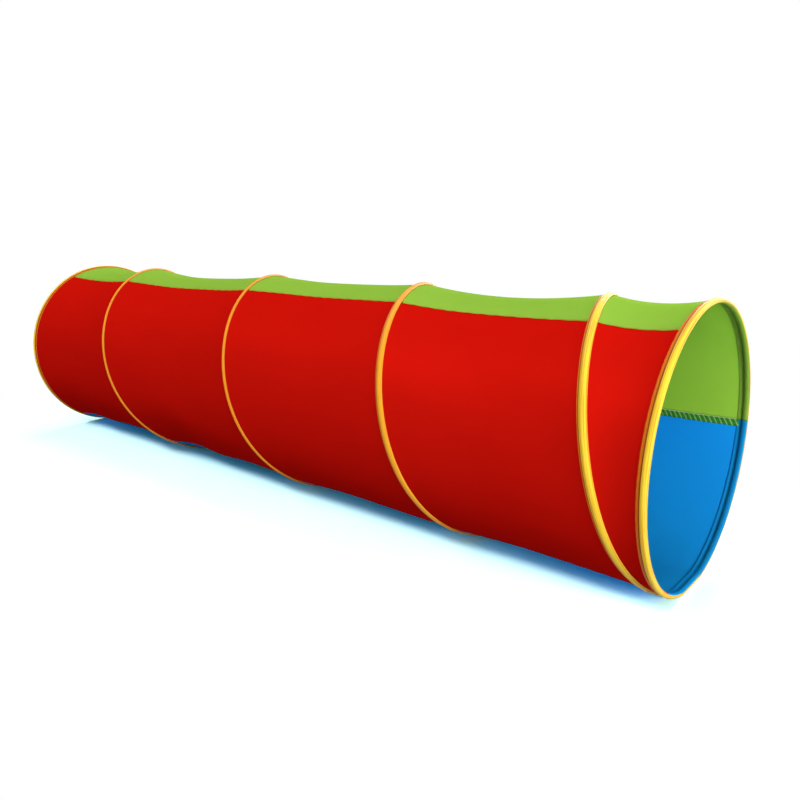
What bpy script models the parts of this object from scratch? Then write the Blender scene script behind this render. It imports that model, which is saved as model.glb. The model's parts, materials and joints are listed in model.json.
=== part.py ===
"""A children's pop-up play tunnel: three long fabric panels sewn into a tube, held open by a spring wire.

The wire makes a closed hoop at each end and a coil between them. The coil is cased in a tape sewn round
the outside of the tube, and each hoop lies in a rolled end binding. The tube lies along X with its near
end at +X, stands on z = 0 and is mirrored in no plane, because its coil is one helix. Lengths are in metres.

Fabric and coil are cut at each turn of the wire, so that every turn can move on its own slide when the
tunnel is pushed flat. Angles go round the tube from the bottom, where the wire leaves the near hoop, and
rise on the -Y side. Insets are distances from the near end's face towards -X.
"""

import math

import bmesh
import bpy
from mathutils import Vector

# Overall sizes
LENGTH = 1.83
OUTER_RADIUS = 0.24

# Spring wire and its joints
WIRE_DIAMETER = 0.003
TURNS = 4
FERRULE_LENGTH = 0.016
FERRULE_WALL = 0.0008
WIRE_END_GAP = 0.0006

# Fabric, tape and bindings
FABRIC_THICKNESS = 0.0008
TAPE_THICKNESS = 0.0006
TAPE_WIDTH = 0.018
TAPE_SHOULDER = 0.0016
ROLL_EASE = 0.0007
ROLL_RISE = 0.004
ROLL_CORNER = 0.0025
ROLL_NECK = 0.0015
FLANGE_WIDTH = 0.005
INNER_TAIL_WIDTH = 0.006

# The panels are slack by this depth over a long span, and by half of it over the half span. The floor holds
# up some of the slack underneath, and the bays don't all hang alike: each has its own share at its top.
SLACK_DEPTH = 0.026
SLACK_HALF_SPAN = 0.31
FLOOR_SLACK_SHARE = 0.15
BAY_SLACK_SHARES = (1.1, 1.0, 0.6, 0.95, 0.9)

# Gap that touching pieces keep, and the narrowest strip of fabric that is made
CLEARANCE = 0.0003
NARROWEST = 0.002

# Spacing of the coil: its first turns are closer than its last, as the tunnel lies when pulled out
START_SPACING_SHARE = 0.742

# Counts round the tube and along a bay
COLUMNS = 36
FLAT_COLUMNS = 1
FIRST_SEAM_COLUMN = 3
BAY_SHARES = (0.25, 0.5, 0.75)
MOST_LAND_SHARE = 0.4
OVAL_SEGMENTS = 6

PANELS = ("red", "green", "blue")
PANEL_COLUMNS = COLUMNS // len(PANELS)
COLUMN_ANGLE = 2 * math.pi / COLUMNS
FLAT_ANGLE = FLAT_COLUMNS * COLUMN_ANGLE
COIL_COLUMNS = TURNS * COLUMNS

# Radii of what lies on what, from the tape's crest inwards
WIRE_RADIUS = WIRE_DIAMETER / 2
COIL_RADIUS = OUTER_RADIUS - TAPE_THICKNESS - CLEARANCE - WIRE_RADIUS
FABRIC_RADIUS = COIL_RADIUS - WIRE_RADIUS - CLEARANCE
FABRIC_INNER_RADIUS = FABRIC_RADIUS - FABRIC_THICKNESS
FOOT_RADIUS = FABRIC_RADIUS + CLEARANCE + TAPE_THICKNESS
TAIL_RADIUS = FABRIC_INNER_RADIUS - CLEARANCE - TAPE_THICKNESS
CENTRE_HEIGHT = OUTER_RADIUS * math.cos(FLAT_ANGLE)

# The ferrule holds two wires side by side, and the rolled hem holds the ferrule
WIRE_SPACING = WIRE_DIAMETER + CLEARANCE
FERRULE_BORE = WIRE_DIAMETER + 2 * CLEARANCE
FERRULE_HEIGHT = FERRULE_BORE + 2 * FERRULE_WALL
FERRULE_WIDTH = FERRULE_HEIGHT + WIRE_SPACING
LINING = TAPE_THICKNESS + CLEARANCE
HOOP_INSET = LINING + FERRULE_HEIGHT / 2
START_INSET = HOOP_INSET + WIRE_SPACING
ROLL_WIDTH = FERRULE_WIDTH + 2 * LINING + ROLL_EASE
ROLL_HEIGHT = FERRULE_HEIGHT + 2 * LINING + ROLL_RISE
HOOP_RADIUS = OUTER_RADIUS - ROLL_HEIGHT / 2
HEM_INSET = ROLL_WIDTH
FLANGE_INSET = ROLL_WIDTH + FLANGE_WIDTH
TAPE_HALF = TAPE_WIDTH / 2
CREST_HALF = WIRE_RADIUS
FOOT_HALF = CREST_HALF + CLEARANCE + TAPE_THICKNESS + TAPE_SHOULDER

# Colours of the fabric, the tape and the metal, with each one's roughness and metallic value
FINISHES = {
    "red": ((0.69, 0.01, 0.004), 0.45, 0.0),
    "green": ((0.31, 0.55, 0.09), 0.5, 0.0),
    "blue": ((0.01, 0.23, 0.6), 0.45, 0.0),
    "yellow": ((0.94, 0.64, 0.06), 0.6, 0.0),
    "steel": ((0.5, 0.5, 0.52), 0.35, 1.0),
    "aluminium": ((0.75, 0.75, 0.76), 0.4, 1.0),
}


def clear_scene():
    for old in list(bpy.data.objects):
        bpy.data.objects.remove(old, do_unlink=True)


def make_collection(name):
    collection = bpy.data.collections.new(name)
    bpy.context.scene.collection.children.link(collection)
    return collection


def make_materials():
    made = {}
    for name, (colour, roughness, metallic) in FINISHES.items():
        material = bpy.data.materials.new(name)
        material.use_nodes = True
        shader = material.node_tree.nodes["Principled BSDF"]
        shader.inputs["Base Color"].default_value = (*colour, 1.0)
        shader.inputs["Roughness"].default_value = roughness
        shader.inputs["Metallic"].default_value = metallic
        material.diffuse_color = (*colour, 1.0)
        made[name] = material
    return made


def make_body(name, inset, collection):
    """An empty on the slide axis, in the middle of what it carries."""
    body = bpy.data.objects.new(name, None)
    body.empty_display_size = OUTER_RADIUS
    body.location = (LENGTH / 2 - inset, 0.0, CENTRE_HEIGHT)
    collection.objects.link(body)
    return body


def place_object(name, data, body, material, collection):
    made = bpy.data.objects.new(name, data)
    data.materials.append(material)
    collection.objects.link(made)
    made.parent = body
    return made


def place_at(inset, radius, column):
    """The point at an inset and radius on a column's line along the tube, which is flat on the floor."""
    angle = column * COLUMN_ANGLE
    drop = min(math.cos(angle), math.cos(FLAT_ANGLE))
    return Vector((LENGTH / 2 - inset, -radius * math.sin(angle), CENTRE_HEIGHT - radius * drop))


def wire_inset(column):
    """How far the coil has come from the near end, after so many columns of its turns."""
    share = min(max(column / COIL_COLUMNS, 0.0), 1.0)
    inset = LENGTH * share * (START_SPACING_SHARE + (1 - START_SPACING_SHARE) * share)
    return min(max(inset, START_INSET), LENGTH - START_INSET)


def wire_place(column):
    """The middle of the coil's wire. It joins each hoop inside the rolled hem."""
    in_hem = column <= 0 or column >= COIL_COLUMNS
    return place_at(wire_inset(column), HOOP_RADIUS if in_hem else COIL_RADIUS, column)


def sheet_mesh(name, rows, body, closed=False):
    """An open surface through equal rows of points. Its faces look out when rows go from +X to -X."""
    mesh = bpy.data.meshes.new(name)
    bm = bmesh.new()
    lines = [[bm.verts.new(point - body.location) for point in row] for row in rows]
    for line, following in zip(lines, lines[1:]):
        pairs = list(zip(line, following))
        nexts = pairs[1:] + pairs[:1] if closed else pairs[1:]
        for (a, b), (d, c) in zip(pairs, nexts):
            bm.faces.new((a, d, c, b))
    bm.to_mesh(mesh)
    bm.free()
    return mesh


def make_shell(name, rows, thickness, body, material, collection, closed=False):
    """A cloth piece: a surface given its thickness inwards."""
    shell = place_object(name, sheet_mesh(name, rows, body, closed), body, material, collection)
    solid = shell.modifiers.new("Thickness", "SOLIDIFY")
    solid.thickness = thickness
    solid.offset = -1.0
    solid.use_even_offset = True
    shell.data.shade_smooth()
    return shell


def make_wire(name, points, body, material, collection):
    """A round wire along points, with filled ends."""
    curve = bpy.data.curves.new(name, "CURVE")
    curve.dimensions = "3D"
    curve.bevel_depth = WIRE_RADIUS
    curve.bevel_resolution = 1
    curve.use_fill_caps = True
    spline = curve.splines.new("POLY")
    spline.points.add(len(points) - 1)
    for target, point in zip(spline.points, points):
        target.co = (*(point - body.location), 1.0)
    return place_object(name, curve, body, material, collection)


def turn_columns(turn, gap, radius, first=0, last=COIL_COLUMNS):
    """Columns of one turn, between first and last, kept short of its neighbours by half the gap."""
    trim = gap / 2 / radius / COLUMN_ANGLE
    start = max((turn - 1) * COLUMNS, first)
    end = min(turn * COLUMNS, last)
    return [start + trim, *range(start + 1, end), end - trim]


def make_coil_wire(turn, body, material, collection):
    columns = turn_columns(turn, WIRE_END_GAP, COIL_RADIUS)
    if turn == 1:
        columns = [-1, 0, *columns[1:]]
    if turn == TURNS:
        columns = [*columns[:-1], COIL_COLUMNS, COIL_COLUMNS + 1]
    points = [wire_place(column) for column in columns]
    return make_wire(f"coil_wire_{turn}", points, body, material, collection)


def make_hoop(name, inset, joint_column, body, material, collection):
    """A wire hoop whose two ends meet in its ferrule, half way along one column."""
    middle_share = 0.5
    trim = WIRE_END_GAP / 2 / HOOP_RADIUS / COLUMN_ANGLE
    a, b = (place_at(inset, HOOP_RADIUS, joint_column + step) for step in (0, 1))
    columns = range(joint_column + 1, joint_column + COLUMNS + 1)
    points = [a.lerp(b, middle_share + trim)]
    points += [place_at(inset, HOOP_RADIUS, column) for column in columns]
    points += [a.lerp(b, middle_share - trim)]
    return make_wire(name, points, body, material, collection)


def tape_span():
    """First and last column at which the coil's tape is clear of the end bindings."""
    room = FLANGE_INSET + CLEARANCE + FOOT_HALF
    free = [c for c in range(COIL_COLUMNS + 1) if room < wire_inset(c) < LENGTH - room]
    return free[0], free[-1]


def make_coil_tape(turn, body, material, collection):
    """The tape over one turn: two flat feet sewn to the fabric and a crest over the wire."""
    first, last = tape_span()
    columns = turn_columns(turn, CLEARANCE, OUTER_RADIUS, first, last)
    edge = FLANGE_INSET + CLEARANCE
    profile = (
        (-TAPE_HALF, FOOT_RADIUS),
        (-FOOT_HALF, FOOT_RADIUS),
        (-CREST_HALF, OUTER_RADIUS),
        (CREST_HALF, OUTER_RADIUS),
        (FOOT_HALF, FOOT_RADIUS),
        (TAPE_HALF, FOOT_RADIUS),
    )
    rows = []
    for offset, radius in profile:
        insets = [min(max(wire_inset(c) + offset, edge), LENGTH - edge) for c in columns]
        rows.append([place_at(inset, radius, c) for inset, c in zip(insets, columns)])
    name = f"coil_tape_{turn}"
    return make_shell(name, rows, TAPE_THICKNESS, body, material, collection)


def lifted_columns(far):
    """Columns at which the binding's flange rises to let the coil's wire out from under it."""
    half_turn = COLUMNS // 2
    if far:
        columns = range(COIL_COLUMNS - half_turn, COIL_COLUMNS + 2)
        lifted = [c for c in columns if LENGTH - wire_inset(c + 1) < FLANGE_INSET]
    else:
        lifted = [c for c in range(-1, half_turn) if wire_inset(c - 1) < FLANGE_INSET]
    return {c % COLUMNS for c in lifted}


def make_binding(name, far, body, material, collection):
    """The end binding: rolled round the hoop, with a flange outside the fabric and a tail inside it."""
    bottom = OUTER_RADIUS - ROLL_HEIGHT
    neck = ROLL_WIDTH - ROLL_NECK
    profile = (
        (FLANGE_INSET, FOOT_RADIUS),
        (ROLL_WIDTH + ROLL_NECK, FOOT_RADIUS),
        (neck, OUTER_RADIUS),
        (ROLL_CORNER, OUTER_RADIUS),
        (0.0, OUTER_RADIUS - ROLL_CORNER),
        (0.0, bottom + ROLL_CORNER),
        (ROLL_CORNER, bottom),
        (neck, bottom),
        (ROLL_WIDTH + ROLL_NECK, TAIL_RADIUS),
        (ROLL_WIDTH + INNER_TAIL_WIDTH, TAIL_RADIUS),
    )
    lifted = lifted_columns(far)
    rows = []
    for inset, radius in profile:
        over_wire = OUTER_RADIUS if radius == FOOT_RADIUS else radius
        inset = LENGTH - inset if far else inset
        radii = [over_wire if column in lifted else radius for column in range(COLUMNS)]
        rows.append([place_at(inset, r, column) for column, r in enumerate(radii)])
    if not far:
        rows.reverse()
    return make_shell(name, rows, TAPE_THICKNESS, body, material, collection, closed=True)


def oval(width, height):
    """Points of an outline with two straight sides and round ends."""
    straight = (width - height) / 2
    points = []
    for side in (1, -1):
        for step in range(OVAL_SEGMENTS + 1):
            angle = side * (math.pi * step / OVAL_SEGMENTS - math.pi / 2)
            x = side * (straight + height / 2 * math.cos(angle))
            points.append((x, height / 2 * math.sin(angle)))
    return points


def make_ferrule(name, inset, joint_column, body, material, collection):
    """A crimped oval sleeve round the hoop's two ends and the coil's own end beside them."""
    curve = bpy.data.curves.new(name, "CURVE")
    curve.dimensions = "2D"
    curve.fill_mode = "BOTH"
    curve.extrude = FERRULE_LENGTH / 2
    for width, height in (
        (FERRULE_WIDTH, FERRULE_HEIGHT),
        (FERRULE_BORE + WIRE_SPACING, FERRULE_BORE),
    ):
        outline = oval(width, height)
        spline = curve.splines.new("POLY")
        spline.points.add(len(outline) - 1)
        for target, (x, y) in zip(spline.points, outline):
            target.co = (x, y, 0.0, 1.0)
        spline.use_cyclic_u = True
    a, b = (place_at(inset, HOOP_RADIUS, joint_column + step) for step in (0, 1))
    ferrule = place_object(name, curve, body, material, collection)
    ferrule.location = (a + b) / 2 - body.location
    run = b - a
    ferrule.rotation_euler = (math.atan2(-run.y, run.z), 0.0, 0.0)
    return ferrule


def bay_edges(bay, column):
    """Insets of a bay's two edges on one column: each is a turn of the wire, or the hem."""
    near = HEM_INSET
    far = LENGTH - HEM_INSET
    if bay > 0:
        near = max(near, wire_inset((bay - 1) * COLUMNS + column) + CLEARANCE / 2)
    if bay * COLUMNS + column < COIL_COLUMNS:
        far = min(far, wire_inset(bay * COLUMNS + column) - CLEARANCE / 2)
    return near, far


def slack_share(bay, column):
    """The share of the full slack that hangs there: it changes along the coil, and is least on the floor."""
    top_share = 0.5
    place = min(max(bay + column / COLUMNS - top_share, 0), TURNS)
    before = min(int(place), TURNS - 1)
    share = place - before
    near_slack, far_slack = BAY_SLACK_SHARES[before : before + 2]
    bay_share = near_slack * (1 - share) + far_slack * share
    lowness = (1 + math.cos(column * COLUMN_ANGLE)) / 2
    return bay_share * (1 - (1 - FLOOR_SLACK_SHARE) * lowness**2)


def bay_profile(near, far, slack):
    """Insets and radii across a bay: flat under each tape, and drawn in between them."""
    land = min(TAPE_HALF, (far - near) * MOST_LAND_SHARE)
    span = far - near - 2 * land
    depth = slack * SLACK_DEPTH * span / (span + SLACK_HALF_SPAN)
    hang = [(near + land + span * u, FABRIC_RADIUS - depth * 4 * u * (1 - u)) for u in BAY_SHARES]
    return [
        (near, FABRIC_RADIUS),
        (near + land, FABRIC_RADIUS),
        *hang,
        (far - land, FABRIC_RADIUS),
        (far, FABRIC_RADIUS),
    ]


def make_panel_bay(panel, bay, body, material, collection):
    """One panel's fabric between two turns of the wire."""
    trim = CLEARANCE / 2 / FABRIC_RADIUS / COLUMN_ANGLE
    start = FIRST_SEAM_COLUMN + PANELS.index(panel) * PANEL_COLUMNS
    end = start + PANEL_COLUMNS
    columns = [start + trim, *range(start + 1, end), end - trim]
    lines = []
    for column in columns:
        near, far = bay_edges(bay, column)
        if far - near > NARROWEST:
            profile = bay_profile(near, far, slack_share(bay, column))
            lines.append([place_at(s, radius, column) for s, radius in profile])
    rows = list(zip(*lines))
    name = f"{panel}_panel_bay_{bay}"
    return make_shell(name, rows, FABRIC_THICKNESS, body, material, collection)


def make_end(side, far, body, materials, collection):
    joint = COIL_COLUMNS if far else -1
    hoop = LENGTH - HOOP_INSET if far else HOOP_INSET
    start = LENGTH - START_INSET if far else START_INSET
    make_hoop(f"{side}_hoop", hoop, joint, body, materials["steel"], collection)
    make_ferrule(f"{side}_ferrule", (hoop + start) / 2, joint, body, materials["aluminium"], collection)
    make_binding(f"{side}_binding", far, body, materials["yellow"], collection)


def main():
    clear_scene()
    collection = make_collection("play_tunnel")
    materials = make_materials()
    near_end = make_body("near_end", 0.0, collection)
    make_end("near_end", False, near_end, materials, collection)
    bodies = [near_end]
    for turn in range(1, TURNS + 1):
        coil = make_body(f"coil_{turn}", wire_inset((turn - 0.5) * COLUMNS), collection)
        make_coil_wire(turn, coil, materials["steel"], collection)
        make_coil_tape(turn, coil, materials["yellow"], collection)
        bodies.append(coil)
    for bay, body in enumerate(bodies):
        for panel in PANELS:
            make_panel_bay(panel, bay, body, materials[panel], collection)
    far_end = make_body("far_end", LENGTH, collection)
    make_end("far_end", True, far_end, materials, collection)


main()
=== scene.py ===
"""Looks of a children's pop-up play tunnel, in metres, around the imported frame.

The tunnel lies along X with its near end at +X. An inset is a distance from the near end's face towards -X.
An angle goes round the tube from straight down, up the -Y side, over the top and down the +Y side. A turn
counts the coil's turns from the near hoop, where its wire starts straight down.
"""

import json
import math

import bpy
import numpy as np
from mathutils import Matrix, Vector, noise

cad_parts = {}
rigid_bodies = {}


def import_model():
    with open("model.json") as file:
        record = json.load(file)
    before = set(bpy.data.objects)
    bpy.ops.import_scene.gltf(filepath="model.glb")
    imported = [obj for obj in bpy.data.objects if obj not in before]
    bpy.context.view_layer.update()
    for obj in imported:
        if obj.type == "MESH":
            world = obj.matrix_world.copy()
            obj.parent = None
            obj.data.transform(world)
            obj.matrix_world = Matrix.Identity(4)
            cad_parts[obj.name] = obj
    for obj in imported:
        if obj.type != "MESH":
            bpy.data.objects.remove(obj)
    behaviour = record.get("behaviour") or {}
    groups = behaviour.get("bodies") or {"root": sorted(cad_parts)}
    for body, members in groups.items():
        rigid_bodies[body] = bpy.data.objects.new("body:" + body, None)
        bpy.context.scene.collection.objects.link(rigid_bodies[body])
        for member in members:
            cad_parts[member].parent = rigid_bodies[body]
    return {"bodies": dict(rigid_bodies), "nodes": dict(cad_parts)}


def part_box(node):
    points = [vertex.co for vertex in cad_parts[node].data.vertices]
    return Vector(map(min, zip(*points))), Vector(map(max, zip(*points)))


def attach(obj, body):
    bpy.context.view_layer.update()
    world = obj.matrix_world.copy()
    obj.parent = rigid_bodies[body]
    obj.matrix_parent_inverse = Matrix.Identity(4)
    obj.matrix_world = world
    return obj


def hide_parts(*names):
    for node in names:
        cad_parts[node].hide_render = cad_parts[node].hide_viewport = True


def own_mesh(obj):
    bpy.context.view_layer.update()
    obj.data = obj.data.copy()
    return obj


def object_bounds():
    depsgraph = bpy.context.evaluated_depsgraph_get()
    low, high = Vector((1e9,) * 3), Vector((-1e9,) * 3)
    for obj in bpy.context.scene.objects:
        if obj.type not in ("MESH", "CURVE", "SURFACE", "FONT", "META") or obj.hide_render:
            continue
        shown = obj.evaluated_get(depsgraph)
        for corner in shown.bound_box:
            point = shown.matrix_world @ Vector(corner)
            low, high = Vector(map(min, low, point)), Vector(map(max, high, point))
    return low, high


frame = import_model()
cad_low, cad_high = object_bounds()
bpy.context.scene.view_settings.view_transform = "Standard"

# Sizes of the tube, read from the frame
NEAR_X = cad_high.x
LENGTH = cad_high.x - cad_low.x
OUTER_RADIUS = (cad_high.y - cad_low.y) / 2
CENTRE_HEIGHT = cad_high.z - OUTER_RADIUS
TURNS = sum(name.startswith("coil_") for name in frame["bodies"])
FABRIC_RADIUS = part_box("green_panel_bay_0")[1].y
HEM_INSET = NEAR_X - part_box("green_panel_bay_0")[1].x
WIRE_RADIUS = (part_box("near_end_hoop")[1].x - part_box("near_end_hoop")[0].x) / 2
COIL_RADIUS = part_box("coil_wire_2")[1].z - CENTRE_HEIGHT - WIRE_RADIUS

# How the coil winds, where the tube stands flat, and the angles in degrees between which each panel lies
START_SPACING_SHARE = 0.742
FLAT_ANGLE = math.radians(10)
FLAT_SOFTNESS_SHARE = 0.006
PANEL_ANGLES = {"red": (30, 150), "green": (150, 270), "blue": (270, 390)}

# Seams: the angle in degrees, the panel whose overlocked edge shows inside, and the way it is folded
SEAMS = {"blue_red": (30, "blue", -1), "red_green": (150, "green", 1), "green_blue": (270, "green", 1)}

# The red and green panels' seam creeps up by these degrees at these insets, and more between two wires
CREEPING_SEAM = 150
SEAM_CREEPS = ((0.0, 0.0), (0.12, 0.5), (0.5, 3.6), (1.0, 4.2), (1.52, 3.8), (1.83, 4.5))
SEAM_CREEP_PER_METRE = 5.5

# Cloth: thickness, the gap between its layers, and its slack between turns of the wire
CLOTH_THICKNESS = 0.00035
LAYER_GAP = 0.0001
SLACK_DEPTH = 0.026
SLACK_HALF_SPAN = 0.31
FLOOR_SLACK_SHARE = 0.15
BAY_SLACK_SHARES = (1.1, 1.0, 0.6, 0.95, 0.9)

# Fineness of the meshes
ROW_SPACING = 0.005
PANEL_COLUMNS = 84
RING_COLUMNS = 240
TURN_COLUMNS = 180
TURN_SEARCH_STEPS = 1000
WIRE_SIDES = 8
STITCH_FINENESS = 3
SEAM_CROWDING_SHARE = 0.25

# Wrinkles: how deep each kind is, how long its waves are and how far it reaches
BILLOW_DEPTH = 0.0026
BILLOW_WIDTH = 0.1
BILLOW_LENGTH = 0.2
BILLOW_FREE_LENGTH = 0.05
FOOT_WAVE_DEPTH = 0.009
FOOT_WAVE_MEAN_SHARE = 0.4
FOOT_WAVE_LENGTH = 0.1
FOOT_WAVE_START = 0.8
FOOT_WAVE_RAMP = 0.35
FOOT_WAVE_ANGLE = math.radians(38)
FOOT_WAVE_REACH = math.radians(24)
PULL_DEPTH = 0.0006
PULL_WIDTH = 0.025
PULL_LENGTH = 0.3
PUCKER_DEPTH = 0.0004
PUCKER_MEAN_SHARE = 0.6
PUCKER_LENGTH = 0.019
PUCKER_REACH = 0.016
RUFFLE_DEPTH = 0.0004
RUFFLE_LENGTH = 0.03
RUFFLE_REACH = 0.01
DRIFT_WIDTH = 0.06
DRIFT_LENGTH = 0.35
SEAM_DIP = 0.0012
SEAM_DIP_REACH = 0.0025

# Places in the noise, so that no two kinds of unevenness are alike
DRIFT_LAYER = 0.0
BILLOW_LAYER = 20.0
PULL_LAYER = 40.0
FOOT_WAVE_LAYER = (6.0, 0.5)
TAPE_LAYER = 5.0
BINDING_LAYER = 2.0
HEM_LAYERS = {"near_end": (0.0, 7.0), "far_end": (0.5, 7.0)}

# Casing tape: places across it from the wire with heights above the cloth, its width by turns, where it
# turns to a painted orange shade, its groove with the width of the painted shade in it, its stitches, its
# ends under the flanges, its lumps, and the wire's ends
TAPE_THICKNESS = 0.0005
TAPE_PROFILE = (
    (-0.0072, 0.0006),
    (-0.0068, 0.0015),
    (-0.0058, 0.0027),
    (-0.0042, 0.0034),
    (-0.0024, 0.0039),
    (-0.0008, 0.0041),
    (0.0008, 0.0041),
    (0.0024, 0.0039),
    (0.004, 0.0034),
    (0.0054, 0.0026),
    (0.0062, 0.0015),
    (0.0068, 0.0006),
    (0.0076, 0.0005),
    (0.0082, 0.001),
    (0.009, 0.0013),
    (0.0097, 0.001),
)
TAPE_WIDTH_SHARES = ((0.0, 1.0), (1.4, 0.9), (2.0, 0.55), (4.0, 0.46))
TAPE_ORANGE_TURNS = (0.5, 1.6)
TAPE_GROOVE = 0.0071
TAPE_GROOVE_WIDTH = 0.0012
TAPE_STITCHES = (-0.006, 0.0071)
TAPE_END_INSET = 0.0145
TAPE_END_GAP = 0.001
TAPE_TUCK_REACH = 0.002
TAPE_TUCK_DEPTH = 0.0009
TAPE_LUMP = 0.0002
TAPE_LUMP_LEAST_HEIGHT = 0.001
TAPE_LUMPS_PER_METRE = 40
LUMPS_PER_RADIAN = 9
COIL_END_RUN = 0.003

# End binding and hem: a roll round the hoop, with a flange outside and a tail inside. Places in a profile
# are insets, with heights of the flange over the cloth or depths of the tail under it
ROLL_RADIUS = 0.0055
BINDING_THICKNESS = 0.0005
FLANGE_PROFILE = (
    (0.0157, 0.0007),
    (0.0153, 0.0014),
    (0.0146, 0.0017),
    (0.0139, 0.0013),
    (0.0132, 0.0006),
    (0.0122, 0.0005),
    (0.0114, 0.0009),
)
FLANGE_LIFT = 0.0006
# Where the binding's groove lies, and the width of the painted shade in it
BINDING_GROOVE = 0.0065
BINDING_GROOVE_WIDTH = 0.003
BINDING_LUMP = 0.00015
BINDING_ANGLES = (-74, 106)
BINDING_ROWS = 15
HEM_ANGLES = (-60, 238)
HEM_ROWS = 25
HEM_INNER_SHARE = 0.6
HEM_TAIL = (
    (0.0112, 0.0009),
    (0.0125, 0.001),
    (0.0145, 0.0017),
    (0.017, 0.0023),
    (0.0184, 0.0022),
    (0.0196, 0.0017),
)
HEM_RIPPLE = 0.00025
HEM_RIPPLE_LENGTH = 0.02
HEM_BULK = 0.0005
HEM_BULK_REACH = 0.005
BINDING_STITCH_INSET = 0.0127
HEM_STITCH_INSET = 0.0163
HEM_STITCH_DEPTH = 0.0012

# Seam allowances inside the tube
ALLOWANCE_WIDTH = 0.013
ALLOWANCE_THICKNESS = 0.0008
ALLOWANCE_LIFT = 0.0003
ALLOWANCE_SWELL = 0.00025
ALLOWANCE_WAVE = 0.0004
ALLOWANCE_WAVE_LENGTH = 0.03
ALLOWANCE_WAVE_WIDTH = 0.02
ALLOWANCE_TUCK = 0.004
ALLOWANCE_COLUMNS = 8
ALLOWANCE_ROWS = 900
OVERLOCK_PITCH = 0.009
OVERLOCK_LOOP_HEIGHT = 0.00012
OVERLOCK_SLANT_SHARE = 0.5

# Stitches: along each, its thread lies this deep or high at these shares of the stitch's length
STITCH_PITCH = 0.0034
STITCH_LENGTH = 0.0026
STITCH_DIP = 0.0002
STITCH_LIFTS = (-STITCH_DIP, STITCH_DIP, STITCH_DIP, -STITCH_DIP)
STITCH_PLACE_SHARES = (0.0, 0.28, 0.72, 1.0)
THREAD_RADIUS = 0.00022

# Looks of woven stuff: the thread's size, how uneven the colour is, how deep the weave, and how it shines
NYLON = {"roughness": 0.5, "thread": 0.0008, "unevenness": 0.05, "relief": 0.25, "gloss": 0.0, "lustre": 0.14}
RIBBON = {"roughness": 0.45, "thread": 0.0011, "unevenness": 0.1, "relief": 0.6, "gloss": 0.35, "lustre": 0.0}
EDGING = {**RIBBON, "gloss": 0.0}
WEAVE_DEPTH_SHARE = 0.25

# The panels' cloth: its colour, the share of the light that it lets through, and the glow of that light
CLOTH_SHARES = {
    "red": ((0.62, 0.007, 0.003), 0.1, (0.9, 0.02, 0.01)),
    "green": ((0.39, 0.64, 0.08), 0.35, (0.5, 0.78, 0.16)),
    "blue": ((0.014, 0.42, 0.86), 0.35, (0.02, 0.5, 0.95)),
}

# Yellow of the tapes, the tint of their gloss, the thread's colour, and the painted shade along a sewn tape:
# orange in its creases and over its far turns, a deeper orange on its edge, and dark brown in its groove
YELLOW = (0.97, 0.68, 0.045)
GOLD = (1.0, 0.75, 0.2)
THREAD_COLOUR = (0.8, 0.42, 0.03)
SEWN_SHADE_COLOURS = {
    "Orange Shade Colour": (0.88, 0.32, 0.02, 1),
    "Edge Shade Colour": (0.88, 0.2, 0.012, 1),
    "Groove Shade Colour": (0.36, 0.06, 0.001, 1),
}

# Overlocked edges: the colour of the cloth between the loops, and of the loops
OVERLOCKS = {
    "green": ((0.035, 0.26, 0.025), (0.3, 0.58, 0.16)),
    "blue": ((0.005, 0.08, 0.25), (0.05, 0.3, 0.6)),
}

# Metals: name, colour, roughness and how many grains to the metre. Roughness varies between two shares of it
METALS = {
    "steel": ("spring steel", (0.5, 0.5, 0.52), 0.35, 400),
    "crimp": ("crimped aluminium", (0.75, 0.75, 0.76), 0.4, 250),
}
METAL_ROUGHNESS_SHARES = (0.7, 1.3)

# Light: where each white softbox stands, its size and its power
SOFTBOXES = {
    "key": ((-0.8, -2.65, 3.05), (3.4, 0.7), 88),
    "top": ((-0.2, 0.9, 2.9), (4.0, 1.6), 38),
    "back": ((0.4, 2.8, 1.1), (3.0, 1.2), 75),
    "end": ((3.2, -0.85, 0.8), (1.0, 0.8), 64),
    "rim": ((2.5, -1.5, 1.75), (0.6, 0.6), 10),
}
FILL_COLOUR = (0.92, 0.98, 1.0)
FILL_STRENGTH = 0.06

# Floor: half its size, where it fades to plain white, the bounce that the tunnel gets from it, and its
# brightness in gloss and to the eye, which is tinted cyan so that its shadow takes a painted cyan tint.
# The shade is a painted glow that tints the shadow
FLOOR_SIZE = 6.0
FLOOR_FADE = (1.5, 0.75)
FLOOR_FADE_SHARES = (0.62, 1.0)
FLOOR_BOUNCE = (0.36, 0.36, 0.37)
FLOOR_GLOSS = (1.1, 1.1, 1.1)
FLOOR_LIT = (1.3, 2.05, 2.1)
FLOOR_SHADE = (0.0, 0.03, 0.02)

# Camera, where the photograph was taken from
CAMERA_PLACE = (1.2536, -1.1512, 0.5793)
CAMERA_HEADING = math.radians(-40.147)
CAMERA_PITCH = math.radians(-13.224)
CAMERA_ROLL = math.radians(-0.355)
CAMERA_LENS = 32.622
SENSOR_WIDTH = 36.0


def smooth_low(a, b, softness):
    """The lower of two numbers, rounded where they cross."""
    share = np.clip(0.5 + 0.5 * (b - a) / softness, 0, 1)
    return b * (1 - share) + a * share - softness * share * (1 - share)


def place_at(insets, radii, angles):
    """Points of the tube, flattened where it stands on the floor."""
    drop = smooth_low(np.cos(angles), math.cos(FLAT_ANGLE), FLAT_SOFTNESS_SHARE)
    x, y, z = NEAR_X - insets, -radii * np.sin(angles), CENTRE_HEIGHT - radii * drop
    return np.stack(np.broadcast_arrays(x, y, z), -1)


def outward(angles):
    """The direction away from the tube's middle."""
    return np.stack((np.zeros_like(angles), -np.sin(angles), -np.cos(angles)), -1)


def noise_at(*coordinates):
    """Smooth noise at each point. A coordinate is a number or an array."""
    points = np.stack(np.broadcast_arrays(*coordinates), -1)
    values = [noise.noise(Vector(point)) for point in points.reshape(-1, 3)]
    return np.array(values).reshape(points.shape[:-1])


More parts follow.
